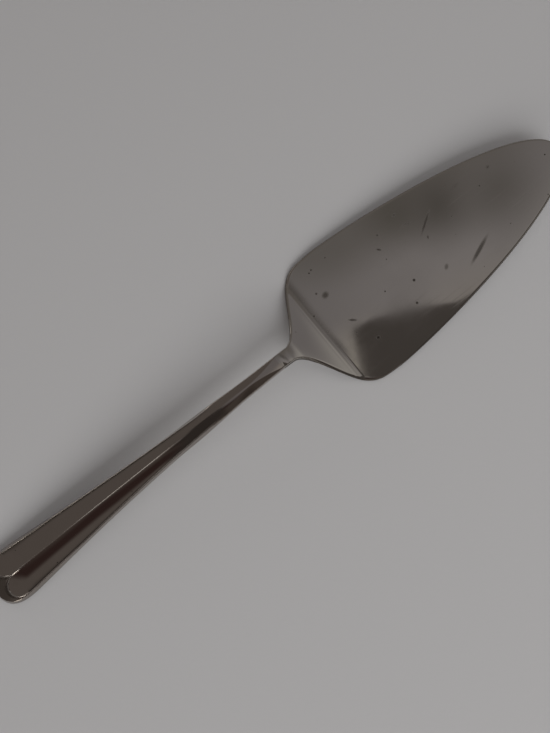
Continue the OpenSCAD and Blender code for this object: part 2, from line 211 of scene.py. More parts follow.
def steelMaterial(name, finish):
    # Polished steel whose tint, roughness and fine relief follow one of the finishes above and below.
    material = bpy.data.materials.new(name)
    tree = bareTree(material)
    place = addNode(tree, "TexCoord").outputs["Object"]

    # Patches of dried film, which dull the steel and tint it.
    film = addNode(tree, "TexNoise", {
        "Vector": place, "Scale": 1 / (finish["hazeSize"] * mm), "Detail": 4.0, "Roughness": 0.6})
    haze = addNode(tree, "MapRange", {
        "Value": film.outputs["Fac"], "From Min": finish["hazeRange"][0],
        "From Max": finish["hazeRange"][1]}, interpolation_type="SMOOTHSTEP")

    # Buffing lines along the length: noise drawn out to long thin streaks.
    turned = addNode(tree, "Mapping", {
        "Vector": place, "Rotation": (0, 0, np.radians(finish["buffAngle"])),
        "Scale": patternScale(finish["buffSize"])})
    buffed = addNode(tree, "TexNoise", {"Vector": turned.outputs[0], "Scale": 1.0, "Detail": 3.0})

    # Stray scratches the other ways: only the crests of such streaks. Each way is moved by its own angle, so
    # that no two share a pattern.
    scratches = None
    for turn in finish["scratchAngles"]:
        turned = addNode(tree, "Mapping", {
            "Vector": place, "Rotation": (0, 0, np.radians(turn)), "Location": (turn, turn, 0),
            "Scale": patternScale(finish["scratchSize"])})
        streak = addNode(tree, "TexNoise", {"Vector": turned.outputs[0], "Scale": 1.0, "Detail": 1.0})
        crest = addNode(tree, "MapRange", {
            "Value": streak.outputs["Fac"], "From Min": finish["scratchRange"][0],
            "From Max": finish["scratchRange"][1]}).outputs[0]
        if scratches is not None:
            crest = addNode(tree, "Math", {0: crest, 1: scratches}, operation="MAXIMUM").outputs[0]
        scratches = crest

    # Water spots: a dot in some of the cells, of a size drawn by the cell's own random colour.
    flatPlace = addNode(tree, "Mapping", {"Vector": place, "Scale": (1, 1, 0)})
    cell = addNode(tree, "TexVoronoi", {
        "Vector": flatPlace.outputs[0], "Scale": 1 / (finish["spotCell"] * mm)}, voronoi_dimensions="2D")
    cellDraw = addNode(tree, "SeparateColor", {"Color": cell.outputs["Color"]})
    spotReach = addNode(tree, "MapRange", {
        "Value": cellDraw.outputs[0], "From Min": finish["spotRange"][0], "From Max": finish["spotRange"][1],
        "To Min": 0.0, "To Max": finish["spotSize"] / finish["spotCell"]})
    inSpot = addNode(tree, "Math", {
        0: spotReach.outputs[0], 1: cell.outputs["Distance"]}, operation="SUBTRACT")
    spots = addNode(tree, "MapRange", {
        "Value": inSpot.outputs[0], "From Min": 0.0,
        "From Max": finish["spotSoftness"] * finish["spotSize"] / finish["spotCell"]}).outputs[0]

    # Single marks that the photograph shows: smeared strokes, a dried drop and specks, as soft ellipses.
    for x, y, turn, halfLength, halfWidth, dark in finish["marks"]:
        local = addNode(tree, "Mapping", {
            "Vector": flatPlace.outputs[0], "Location": ((x + seamX - totalLength / 2) * mm, y * mm, 0),
            "Rotation": (0, 0, np.radians(turn)), "Scale": (halfLength * mm, halfWidth * mm, 1)},
            vector_type="TEXTURE")
        reach = addNode(tree, "VectorMath", {0: local.outputs[0]}, operation="LENGTH")
        mark = addNode(tree, "MapRange", {
            "Value": reach.outputs["Value"], "From Min": finish["markRange"][0],
            "From Max": finish["markRange"][1], "To Max": dark}, interpolation_type="SMOOTHSTEP")
        spots = addNode(tree, "Math", {0: mark.outputs[0], 1: spots}, operation="MAXIMUM").outputs[0]

    # Wear and painted highlight on the high edges, and dirt, painted shade and the bend's darker line, come
    # from the mesh.
    wearAndHighlight = addNode(tree, "Attribute", attribute_name="wearAndHighlight").outputs["Fac"]
    dirtAndShade = addNode(tree, "Attribute", attribute_name="dirtAndShade").outputs["Fac"]
    # The film, the mesh's dirt and painted shade, and the spots darken the steel towards the grime colour
    # and roughen it.
    dirt = addNode(tree, "Math", {
        0: haze.outputs[0], 1: finish["hazeDirt"], 2: dirtAndShade}, operation="MULTIPLY_ADD")
    allDirtAndShade = addNode(tree, "Math", {0: dirt.outputs[0], 1: spots}, operation="MAXIMUM", use_clamp=True)
    colour = addNode(tree, "Mix", {
        0: allDirtAndShade.outputs[0], 6: hexToLinear(finish["steel"]), 7: hexToLinear(finish["grimeAndShade"])},
        data_type="RGBA")
    colour = addNode(tree, "Mix", {
        0: wearAndHighlight, 6: colour.outputs[2], 7: hexToLinear(finish["bright"])}, data_type="RGBA")

    rough = finish["roughness"]
    for cover, added in (
            (haze.outputs[0], "haze"), (allDirtAndShade.outputs[0], "dirt"), (scratches, "scratch"),
            (buffed.outputs["Fac"], "buff"), (wearAndHighlight, "wearAndHighlight")):
        rough = addNode(tree, "Math", {
            0: cover, 1: finish[added + "Roughness"], 2: rough}, operation="MULTIPLY_ADD").outputs[0]

    # Relief in metres: the sheet's waviness, the buffing lines and the scratches.
    wave = addNode(tree, "TexNoise", {
        "Vector": place, "Scale": 1 / (finish["rippleSize"] * mm), "Detail": 0.0})
    relief = 0.0
    for pattern, height in (
            (wave.outputs["Fac"], finish["ripple"]), (buffed.outputs["Fac"], finish["buffDepth"]),
            (scratches, -finish["scratchDepth"])):
        relief = addNode(tree, "Math", {
            0: pattern, 1: height * mm, 2: relief}, operation="MULTIPLY_ADD").outputs[0]
    bump = addNode(tree, "Bump", {"Height": relief, "Distance": 1.0, "Strength": 1.0})
    shader = addNode(tree, "BsdfPrincipled", {
        "Base Color": colour.outputs[2], "Metallic": 1.0, "Roughness": rough, "Normal": bump.outputs[0]})
    addNode(tree, "OutputMaterial", {"Surface": shader.outputs[0]})
    return material


handleFinish = {
    **leafFinish,
    "steel": "#aba49d",  # the struck bar is buffed less than the leaf
    "roughness": 0.05,
    "hazeSize": 18,
    "ripple": 0.004,
    "rippleSize": 16,
    "spotSize": 0.3,
    "grimeAndShade": "#3f3832",  # polish and grease packed along the thread, and painted shade on the side
    "marks": (),
}
weldFinish = {
    **handleFinish,
    "steel": "#b3aea8",  # weld metal dressed flush with a fine belt, then buffed
    "buffAngle": 88,  # the belt ran across the neck
    "roughness": 0.1,
    "spotSize": 0.05,
}
leafSteel = steelMaterial("mirrorBuffedStainless", leafFinish)
handleSteel = steelMaterial("dieStruckStainless", handleFinish)
weldSteel = steelMaterial("groundWeldStainless", weldFinish)
print("steel finishes made")


# Neck section that the three pieces share.
neck = {"height": 10.2, "width": 5.5, "thickness": 3.4, "edgeShare": 0.2, "crown": 0.05}
neckEdge = neck["edgeShare"] * neck["width"] / 2


def closeAtNeck(grid, wearAndHighlight, dirtAndShade, *ends):
    # Closes an end face by a row drawn in to the middle of the neck: before the sheet's first row and, where
    # a second place is given, after its last row too. It has the same wear and highlight, and dirt and
    # shade, as the row beside it.
    hubs = [np.broadcast_to(np.array([x, 0, neck["height"]]), grid[:1].shape) for x in ends]
    added = ((1, len(ends) - 1), (0, 0))
    return (np.concatenate([hubs[0], grid, *hubs[1:]]), np.pad(wearAndHighlight, added, "edge"),
            np.pad(dirtAndShade, ((0, 0),) * (dirtAndShade.ndim - 2) + added, "edge"))


blade = {
    "width": 52.2, "thickness": 1.2,
    "heel": 20.8, "widest": 35.0,  # from the seam to the middle of the bend, and to the widest place
    "crestRadius": 14.0, "bendRadius": 5.0,  # of the metal's middle, at the top and the foot of the heel
    "leafAngle": 3.4,  # how the leaf rises from the bend to the tip
    "flareGap": 3.8, "flareLength": 28.0,  # plain neck past the seam, then the length of the flare
    "shoulderPower": 4.8,  # the higher, the sooner the flare reaches its full width
    "shoulderDrop": 0.12, "dropPower": 1.5,  # share of the width lost behind the widest place, and its power
    "sidePower": 1.4, "tipRoot": 2.13,  # how the sides close in from the widest place to the round tip
    "tipLength": 14.0,  # where the rows of points fan out
    "thinStart": 0.1, "thinEnd": 0.85,  # shares of the heel over which the neck thins to the leaf
    "edge": 0.8, "flareEdge": 0.6,  # width of the edge's rounding, and what the flare adds to it
    "flareEdgeRise": 10.0, "flareEdgeFade": 15.0,  # lengths over which that is added and taken away
    "edgeWear": 0.5, "wearTurn": 46,  # how worn the edge is, down to this turn from the top
    "crease": 0.26, "creaseShift": 0.2, "creaseWidth": 1.3,  # darkening along the bend, its place and half width
    "creaseFar": 0.08, "creaseFarStart": 9.0,  # what the far side adds to it, and from where
    "creaseNearStart": 6.0, "creaseNearFade": 10.0,  # where the near side's starts to thin, and how fast
    "edgeShade": 0.9, "edgeShadeStart": 27, "edgeShadeRise": 45,  # painted shade darkening and dulling the edge under its rounding, and the turns it sets in at
    "runSteps": (30, 14, 40, 130), "tipSteps": 70, "topSteps": 26, "edgeSteps": 14, "underSteps": 12,
    "edgeCrowd": 1.6,  # sets the top's points closer together towards the edge
}
leafLean = np.radians(blade["leafAngle"])
bendX = seamX + blade["heel"]
tipX = totalLength - blade["tipLength"]
centreRise = blade["thickness"] / 2 + blade["bendRadius"] + blade["crestRadius"] - neck["height"]
heelLean = (np.arcsin((blade["crestRadius"] + blade["bendRadius"]) / np.hypot(blade["heel"], centreRise))
            - np.arctan2(centreRise, blade["heel"]))
crestEnd = seamX + blade["crestRadius"] * np.sin(heelLean)
bendStart = bendX - blade["bendRadius"] * np.sin(heelLean)
leafStart = bendX + blade["bendRadius"] * np.sin(leafLean)


def bladeHeight(x):
    # Middle of the metal over the table: an arc down from the crest, a straight ramp, an arc up and a
    # straight leaf.
    def crest(x):
        fall = blade["crestRadius"] ** 2 - (x - seamX) ** 2
        return neck["height"] - blade["crestRadius"] + np.sqrt(np.maximum(fall, 0))

    def bend(x):
        rise = blade["bendRadius"] ** 2 - (x - bendX) ** 2
        return blade["thickness"] / 2 + blade["bendRadius"] - np.sqrt(np.maximum(rise, 0))

    ramp = crest(crestEnd) - (x - crestEnd) * np.tan(heelLean)
    leaf = bend(leafStart) + (x - leafStart) * np.tan(leafLean)
    return np.select([x < crestEnd, x < bendStart, x < leafStart], [crest(x), ramp, bend(x)], leaf)


def bladeLean(x):
    # Slope of that line as an angle, falling towards the tip when above zero.
    onCrest = np.arcsin(np.clip((x - seamX) / blade["crestRadius"], 0, 1))
    onBend = np.arcsin(np.clip((bendX - x) / blade["bendRadius"], -1, 1))
    return np.select([x < crestEnd, x < bendStart, x < leafStart], [onCrest, heelLean, onBend], -leafLean)


def bladeHalfThickness(x):
    # Half of the thickness, measured upright: the neck's, eased over the heel to the leaf's.
    thinned = (blade["thinEnd"] - blade["thinStart"]) * blade["heel"]
    t = (x - seamX - blade["thinStart"] * blade["heel"]) / thinned
    return mix(neck["thickness"], blade["thickness"], smoothStep(t)) / 2 / np.cos(bladeLean(x))


def bladeHalfWidth(x):
    # Half of the width in plan: a blunt leaf whose sides close in by powers, drawn in to the neck by its
    # flare.
    widestX = seamX + blade["widest"]
    ahead = np.clip((x - widestX) / (totalLength - widestX), 0, 1)
    behind = np.clip((widestX - x) / blade["widest"], 0, 1)
    leaf = np.where(
        x > widestX, (1 - ahead ** blade["sidePower"]) ** (1 / blade["tipRoot"]),
        1 - blade["shoulderDrop"] * behind ** blade["dropPower"]) * blade["width"] / 2
    t = np.clip((x - seamX - blade["flareGap"]) / blade["flareLength"], 0, 1)
    return mix(neck["width"] / 2, leaf, 1 - (1 - t ** 2) ** blade["shoulderPower"])


def bladeSheet():
    # One side of the blade. Rows stand square to the middle line along the side and fan out round the tip.
    # In each row a point goes from the middle out to the edge, round it on half an ellipse and back
    # underneath.
    share, turn = sectionPath(
        blade["topSteps"], blade["edgeSteps"], blade["underSteps"], blade["edgeCrowd"])
    x = stations([seamX, crestEnd, bendStart, leafStart, tipX], blade["runSteps"])
    width = bladeHalfWidth(x)
    step = blade["edge"] / 2
    slant = (bladeHalfWidth(x + step) - bladeHalfWidth(x - step)) / (2 * step)
    onFlare = (smoothStep((x - seamX - blade["flareGap"]) / blade["flareEdgeRise"])
               * (1 - smoothStep((x - bendX) / blade["flareEdgeFade"])))
    edge = mix(neckEdge, blade["edge"], smoothStep((x - seamX) / blade["heel"]))
    edge = (edge + blade["flareEdge"] * onFlare) * np.hypot(1, slant)
    centre = np.stack([x, 0 * x], axis=-1)
    inner = np.stack([x, width - np.minimum(edge, width)], axis=-1)
    outer = np.stack([x, width], axis=-1)
    fan = np.linspace(0, np.pi / 2, blade["tipSteps"] + 1)[1:]
    x = mix(tipX, totalLength, np.sin(fan))
    width = np.where(fan < np.pi / 2, bladeHalfWidth(x), 0)
    keep = 1 - blade["edge"] / np.hypot(x - tipX, width)
    centre = np.concatenate([centre, np.stack([0 * x + tipX, 0 * x], axis=-1)])
    inner = np.concatenate([inner, np.stack([mix(tipX, x, keep), width * keep], axis=-1)])
    outer = np.concatenate([outer, np.stack([x, width], axis=-1)])
    plan = (centre[:, None] + (inner - centre)[:, None] * share[:, None]
            + (outer - inner)[:, None] * np.sin(turn)[:, None])
    x, y = plan[..., 0], plan[..., 1]
    crown = neck["crown"] * (1 - smoothStep((x - seamX) / blade["heel"])) * (1 - share ** 2) * (turn == 0)
    z = bladeHeight(x) + bladeHalfThickness(x) * np.cos(turn) + crown
    grid = np.concatenate([plan, z[..., None]], axis=-1)
    wearAndHighlight = (blade["edgeWear"] * np.sin(turn) ** 2 * (turn < np.radians(blade["wearTurn"]))
            * smoothStep((x - crestEnd) / blade["heel"]))
    # The crease of the bend is drawn darker: most on the far side, and less towards the near edge.
    far = blade["crease"] + blade["creaseFar"] * smoothStep(y / blade["creaseFarStart"] - 1)
    near = blade["crease"] * (1 - smoothStep((y - blade["creaseNearStart"]) / blade["creaseNearFade"]))
    fromCrease = (x - bendX - blade["creaseShift"]) / blade["creaseWidth"]
    crease = (turn == 0) * np.exp(-fromCrease ** 2) * np.stack([far, near])
    # Painted shade: under its rounding the edge is darkened and dulled.
    belowRounding = (turn - np.radians(blade["edgeShadeStart"])) / np.radians(blade["edgeShadeRise"])
    edgeShade = blade["edgeShade"] * smoothStep(belowRounding) * (turn < np.pi)
    return closeAtNeck(grid, wearAndHighlight, np.maximum(crease, edgeShade), seamX)


bladePiece = makePiece("cakeBlade", [bladeSheet()], "blade", leafSteel)


weld = {"topSteps": 12, "edgeSteps": 16, "underSteps": 6, "runSteps": (4,)}


def weldSheet():
    # The neck's own section, carried straight along the neck from one end face to the other.
    share, turn = sectionPath(weld["topSteps"], weld["edgeSteps"], weld["underSteps"])
    x = stations([handleLength, seamX], weld["runSteps"])[:, None]
    y = (neck["width"] / 2 - neckEdge) * share + neckEdge * np.sin(turn)
    crown = neck["crown"] * (1 - share ** 2) * (turn == 0)
    z = neck["height"] + neck["thickness"] / 2 * np.cos(turn) + crown
    grid = np.stack(np.broadcast_arrays(x, y, z), axis=-1)
    none = np.zeros(grid.shape[:2])
    return closeAtNeck(grid, none, none, handleLength, seamX)


weldPiece = makePiece("neckWeld", [weldSheet()], "weld_seam", weldSteel)


handle = {
    "width": 18.4, "thickness": 2.3,  # at the end
    "endLength": 9.8, "endPower": 2.6,  # the rounded end, a squared ellipse
    "taperPower": 1.9, "endEase": 0.03,  # how the width falls to the neck's, and how softly it starts
    "swell": 0.3, "swellPlace": 0.74, "swellReach": 0.14,  # extra half width, its place and reach as shares
    "archPower": 1.5,  # the higher, the sooner the handle is as high as the neck
    "rim": 0.9, "slimRim": 0.4,  # width of the sloping side, round the end and along the flutes
    "slimStart": 0.12, "slimEnd": 0.3,  # shares of the length over which it slims
    "draft": 0.5,  # below 1 the side slopes out from the top and is rounded under
    "barStart": 0.7, "barEnd": 0.82,  # shares of the length over which the fluted part turns to plain bar
    "ridge": 3.7, "ridgeStart": 5.0, "ridgeRise": 7.5,  # thickness under the ridge, and where it rises
    "crestRound": 0.1, "barCrestRound": 1.0,  # rounding of its crest, along the flutes and along the bar
    "openStart": 98.0, "openPower": 3.2, "crispLength": 12.0,  # it opens to a flat, whose edges turn crisp
    "fluteLean": 18.5, "flutePower": 2.0, "endFlutePower": 1.6,  # lean by the ridge, and how it flattens out
    "fluteLength": 86.0, "runOutShare": 0.8,  # where the flutes end, and the share where that starts
    "fluteEnd": 4.6,  # length of their round ends
    "hollow": 0.3, "hollowLength": 40.0,  # extra depth by those ends, and how far it reaches
    "panel": 0.2, "panelEdge": 0.9, "cap": 0.3,  # step down past those ends, and the cap's low bulge
    "threadWidth": 0.5, "threadLimit": 0.2,  # the limit is a share of half of the top's width
    "threadHeight": 0.18, "threadFade": 10.0,  # it runs out over the fade
    "ridgeBead": 0.35, "beadFadeShare": 1.4,  # share of its height left on the ridge, and how soon
    "rubAndHighlight": 0.8, "rubPower": 3,  # how bright the thread is drawn, as wear and painted highlight, and how narrow that bright line
    "highlightLess": 0.4, "highlightLessStart": 14.0, "highlightLessLength": 6.0,  # along the ridge the painted highlight is less at first
    "highlightMore": 0.6, "highlightMoreStart": 32.0, "highlightMoreLength": 10.0,  # and then more
    "footPower": 10, "footCapPower": 4,  # how close dirt keeps to the thread, in the flute and on the cap
    "footRidge": 0.4,  # share of that dirt along the ridge and round the end
    "edgeWear": 0.1, "sideShade": 0.3,  # how worn the side is, and painted shade that darkens and dulls the side along the flutes
    "armSteps": 230, "turnSteps": 56, "cornerSteps": 20,
    "fluteSteps": 20, "threadSteps": 12, "capSteps": 12, "edgeSteps": 20, "underSteps": 10,
    "fluteCrowd": 1.4,  # sets the flute's points closer together towards the thread
}


def swellAt(x):
    # Extra width of the side, a smooth hill where the flutes run out.
    away = (x / handleLength - handle["swellPlace"]) / handle["swellReach"]
    return handle["swell"] * np.clip(1 - away ** 2, 0, 1) ** 2


def handleHalfWidth(x):
    # Half of the width: the end's, falling by a power to the neck's.
    s = np.clip((x - handle["endLength"]) / (handleLength - handle["endLength"]), 0, 1)
    t = s * s / (s + handle["endEase"]) * (1 + handle["endEase"])
    taper = (1 - np.minimum(t, 1)) ** handle["taperPower"]
    return mix(neck["width"] / 2, handle["width"] / 2, taper) + swellAt(x)


def barShare(x):
    # From 0 on the fluted part to 1 on the plain bar by the neck.
    return smoothStep((x / handleLength - handle["barStart"]) / (handle["barEnd"] - handle["barStart"]))


def innerWidth(x):
    # Half of the top's width, up to where the sloping side starts, which is broad at the end and slim along
    # the flutes.
    slimShare = (x / handleLength - handle["slimStart"]) / (handle["slimEnd"] - handle["slimStart"])
    slim = mix(handle["rim"], handle["slimRim"], smoothStep(slimShare))
    return handleHalfWidth(x) - mix(slim + swellAt(x), neckEdge, barShare(x))


def handleHalfThickness(x):
    # Half of the thickness at the rim, from the end's to the neck's.
    return mix(handle["thickness"], neck["thickness"], smoothStep(x / handleLength)) / 2


def archShare(x):
    # Share of the neck's height: quick at the end, level at the neck.
    return 1 - (1 - np.clip(x / handleLength, 0, 1)) ** handle["archPower"]


# Height of the middle at the very end, such that the underside meets the table one rim's width in.
endLift = ((handleHalfThickness(handle["rim"]) - neck["height"] * archShare(handle["rim"]))
           / (1 - archShare(handle["rim"])))


def handleUnder(x):
    # Underside over the table: the arched middle less half of the thickness.
    return mix(endLift, neck["height"], archShare(x)) - handleHalfThickness(x)


def threadWidth(x):
    # Full width of the thread, which narrows with the handle.
    return np.minimum(handle["threadWidth"], handle["threadLimit"] * innerWidth(x))


def fluteMiddle(x):
    # Middle of a flute, halfway between the thread on the ridge and the thread by the rim.
    return (innerWidth(x) - threadWidth(x) / 2) / 2


def fluteHalf(x):
    # Half of a flute's width.
    return fluteMiddle(x) - threadWidth(x) / 2


def nearEnd(x):
    # 1 at the flutes' round ends, falling smoothly to 0 over the hollow's length.
    return 1 - smoothStep((x - handle["endLength"]) / handle["hollowLength"])


endMiddle = fluteMiddle(handle["endLength"])
endHalf = fluteHalf(handle["endLength"])
endThread = threadWidth(handle["endLength"])


def softened(d, radius):
    # Distance from a crest that is rounded by a radius: a hyperbola instead of a corner.
    return np.hypot(d, radius) - radius


def handleTop(x, y):
    # Top without its thread: a ridge whose sides fall away, hollow along the flutes and straight along the
    # bar. Towards the neck the ridge opens to a flat; at the end it sinks into the plain cap's low bulge.
    wide = innerWidth(np.maximum(x, handle["endLength"]))
    onset = smoothStep((x - handle["ridgeStart"]) / handle["ridgeRise"])
    opened = np.clip((x - handle["openStart"]) / (handleLength - handle["openStart"]), 0, 1)
    opened = opened ** handle["openPower"]
    ranOut = smoothStep((x / handle["fluteLength"] - handle["runOutShare"]) / (1 - handle["runOutShare"]))
    power = mix(mix(handle["flutePower"], handle["endFlutePower"], nearEnd(x)), 1, ranOut)
    blunt = ranOut * (1 - smoothStep((x - handle["openStart"]) / handle["crispLength"]))
    crest = mix(handle["crestRound"], handle["barCrestRound"], blunt)
    run = softened(wide * (1 - opened), crest)
    s = np.clip(softened(np.maximum(np.abs(y) - wide * opened, 0), crest) / np.maximum(run, tiny), 0, 1)
    fall = onset * np.tan(np.radians(handle["fluteLean"])) * run / power * (1 - (1 - s) ** power)
    along = np.clip((handle["endLength"] - x) / (handle["endLength"] - handle["rim"]), 0, 1)
    across = np.abs(y) / wide
    reach = (along ** handle["endPower"] + across ** handle["endPower"]) ** (1 / handle["endPower"])
    crown = mix(handle["cap"], neck["crown"] * opened,
                smoothStep((x - handle["endLength"] + handle["fluteEnd"]) / handle["fluteEnd"]))
    height = mix(handle["thickness"] + handle["panel"],
                 mix(handle["ridge"], neck["thickness"], smoothStep(x / handleLength)), onset)
    beyond = np.hypot(np.maximum(handle["endLength"] - x, 0) / (handle["fluteEnd"] + endThread),
                      (np.abs(y) - endMiddle) / (endHalf + endThread)) - 1
    step = handle["panel"] * smoothStep(handle["fluteEnd"] * beyond / handle["panelEdge"])
    bulge = crown * (1 - np.minimum(reach, 1) ** 2)
    return handleUnder(x) + height - fall - step * (x < handle["endLength"]) + bulge


# Turns round a flute's end: towards the middle of the rim, and where the two flutes' threads meet.
cornerTurn = np.pi / 2 + np.arctan2(endMiddle, handle["endLength"] - handle["rim"])
meetTurn = np.pi - np.arccos(endMiddle / (endHalf + endThread))
meetX = handle["endLength"] - (handle["fluteEnd"] + endThread) * np.sin(meetTurn)

# Rows that the top and the side share, so that they meet: along the arm, and round the end.
armX = stations([handleLength, handle["endLength"]], (handle["armSteps"],))
endTurns = np.linspace(0, cornerTurn, handle["turnSteps"] + 1)[1:]


def roundEnd(turn, length, width):
    # Quarter of a squared ellipse, from the side of the handle to the middle of its end.
    quarter = np.pi / 2 * np.minimum(turn / cornerTurn, 1)
    power = 2 / handle["endPower"]
    return (handle["endLength"] - length * np.sin(quarter) ** power,
            width * np.maximum(np.cos(quarter), 0) ** power * (turn < cornerTurn))


def handleTopSheet():
    # One half of the top, in rows that run square to a path up one side of the flute, round its end and back
    # down its other side. A row goes from the flute's middle over its hollow, over the thread as a low arch,
    # and on to the rim or to the ridge between the flutes.
    turns = np.concatenate([
        endTurns,
        np.linspace(cornerTurn, meetTurn, handle["cornerSteps"] + 1)[1:],
        np.linspace(meetTurn, np.pi, handle["cornerSteps"] + 1)[1:-1]])
    atX = np.concatenate([armX, 0 * turns + handle["endLength"], armX[::-1]])[:, None]
    turn = np.concatenate([0 * armX, turns, 0 * armX + np.pi])[:, None]
    inArm = np.concatenate([0 * armX + 1, 0 * turns, 0 * armX + 1])[:, None] > 0
    thread = threadWidth(atX)
    half = fluteHalf(atX)
    middle = fluteMiddle(atX)
    # How far the thread is carried: over all its width, or to the middle line where the two sides meet.
    toLine = middle / np.maximum(-np.cos(turn), tiny) - half
    reach = np.where(turn > meetTurn, np.minimum(thread, toLine), thread)

    fluteShare = 1 - (1 - np.linspace(0, 1, handle["fluteSteps"] + 1)) ** handle["fluteCrowd"]
    threadShare = np.linspace(0, 1, handle["threadSteps"] + 1)[1:]
    capShare = np.linspace(0, 1, handle["capSteps"] + 1)[1:]
    hollow = handle["hollow"] * nearEnd(atX)
    # The thread runs out where the flutes do. On the ridge it thins to a bead soon after its start.
    outer = smoothStep((handle["fluteLength"] + handle["threadFade"] - atX) / handle["threadFade"])
    thinned = smoothStep((atX - handle["endLength"]) / (handle["beadFadeShare"] * handle["fluteEnd"]))
    onRidge = smoothStep((handle["fluteLength"] - atX) / handle["threadFade"])
    raised = np.where(turn > np.pi / 2, mix(1, handle["ridgeBead"], thinned) * onRidge, outer)

    x = atX - handle["fluteEnd"] * fluteShare * np.sin(turn)
    y = middle + half * fluteShare * np.cos(turn)
    z = handleTop(x, y) - hollow * (1 - fluteShare ** 2)
    flute = np.stack([x, y, z], axis=-1)

    beyond = reach * threadShare
    x = atX - (handle["fluteEnd"] + beyond) * np.sin(turn)
    y = middle + (half + beyond) * np.cos(turn)
    swell = 1 - (2 * beyond / thread - 1) ** 2
    z = handleTop(x, y) + handle["threadHeight"] * raised * swell
    threadRows = np.stack([x, y, z], axis=-1)

    rimX, rimY = roundEnd(turn, handle["endLength"] - handle["rim"], innerWidth(handle["endLength"]))
    onLine = mix(handle["rim"], meetX, (turn - cornerTurn) / (meetTurn - cornerTurn))
    targetX = np.select([turn < cornerTurn, turn < meetTurn], [rimX, onLine], x[:, -1:])
    targetY = np.where(turn < cornerTurn, rimY, 0)
    targetX = np.where(inArm, x[:, -1:], targetX)
    targetY = np.where(inArm, y[:, -1:], targetY)
    capX = mix(x[:, -1:], targetX, capShare)
    capY = mix(y[:, -1:], targetY, capShare)
    capZ = handleTop(capX, capY) + handle["threadHeight"] * raised * swell[:, -1:]
    cap = np.stack([capX, capY, capZ], axis=-1)

    grid = np.concatenate([flute, threadRows, cap], axis=1)
    # The thread is drawn bright all round, as wear and painted highlight, and most along the ridge ahead of
    # the bar.
    less = handle["highlightLess"] * smoothStep((atX - handle["highlightLessStart"]) / handle["highlightLessLength"])
    more = handle["highlightMore"] * smoothStep((atX - handle["highlightMoreStart"]) / handle["highlightMoreLength"])
    rubbedAndHighlit = np.where(
        inArm & (turn > np.pi / 2), (handle["rubAndHighlight"] - less + more) * onRidge, handle["rubAndHighlight"] * raised)
    wearAndHighlight = np.concatenate([0 * flute[..., 0], rubbedAndHighlit * swell ** handle["rubPower"], 0 * capX], axis=1)
    # Dirt is packed along the thread's foot.
    along = inArm & (turn < np.pi / 2)
    foot = raised * np.concatenate([
        fluteShare ** handle["footPower"] * along, (1 - swell) * mix(handle["footRidge"], 1, along),
        (1 - capShare) ** handle["footCapPower"] * ~inArm], axis=1)
    return closeAtNeck(grid, wearAndHighlight, foot, handleLength, handleLength)


def handleEdgeSheet():
    # The side of one half and the flat underside. The side slopes out from the top and is rounded under;
    # by the neck it is half an ellipse. Then straight in to the middle line.
    def sidePath(armWidth, length, width):
        # Along the arm at its own width, then round the end.
        endX, endY = roundEnd(endTurns, length, width)
        return np.stack([np.concatenate([armX, endX]), np.concatenate([armWidth, endY])], axis=-1)[:, None]

    inner = sidePath(
        innerWidth(armX), handle["endLength"] - handle["rim"], innerWidth(handle["endLength"]))
    outer = sidePath(handleHalfWidth(armX), handle["endLength"], handle["width"] / 2)
    share, turn = sectionPath(0, handle["edgeSteps"], handle["underSteps"])
    roundPart = np.where(turn < np.pi, np.sin(turn), 0)[:, None]
    plan = inner + (outer - inner) * roundPart
    x = plan[..., 0]
    y = plan[..., 1] * share
    low = handleUnder(inner[..., 0])
    high = handleTop(inner[..., 0], inner[..., 1])
    draft = mix(handle["draft"], 1, barShare(inner[..., 0]))
    z = mix(low, high, 0.5 + 0.5 * np.cos(np.pi * (turn / np.pi) ** draft))
    grid = np.stack([x, y, z], axis=-1)
    wearAndHighlight = handle["edgeWear"] * np.sin(turn) ** 2 * np.ones_like(x)
    # Painted shade: the side is darkened and dulled, along the fluted part only.
    sideShade = handle["sideShade"] * np.sin(turn) ** 2 * (1 - barShare(x))
    return closeAtNeck(grid, wearAndHighlight, sideShade, handleLength)


handlePiece = makePiece("flutedHandle", [handleTopSheet(), handleEdgeSheet()], "handle", handleSteel)


# Camera: fitted to the outline in the photograph.
cameraView = {
    "place": (-28.8, -28.6, 222.4), "azimuth": -38.52, "elevation": 80.27, "roll": 0.09,
    "lens": 31.43, "sensor": 36.0, "nearest": 10,
}
azimuth, elevation, roll = (np.radians(cameraView[angle]) for angle in ("azimuth", "elevation", "roll"))
level = np.cos(elevation)
back = Vector((np.sin(azimuth) * level, -np.cos(azimuth) * level, np.sin(elevation)))
right = Vector((0, 0, 1)).cross(back).normalized()
right.rotate(Matrix.Rotation(roll, 3, back))
up = back.cross(right)
lens = bpy.data.cameras.new("photoCamera")
lens.lens = cameraView["lens"]
lens.sensor_width = cameraView["sensor"]
lens.clip_start = cameraView["nearest"] * mm
camera = bpy.data.objects.new("photoCamera", lens)
camera.matrix_world = Matrix.Translation(Vector(cameraView["place"]) * mm) @ Matrix(
    (right, up, back)).transposed().to_4x4()
bpy.context.scene.collection.objects.link(camera)
bpy.context.scene.camera = camera
print("camera set")


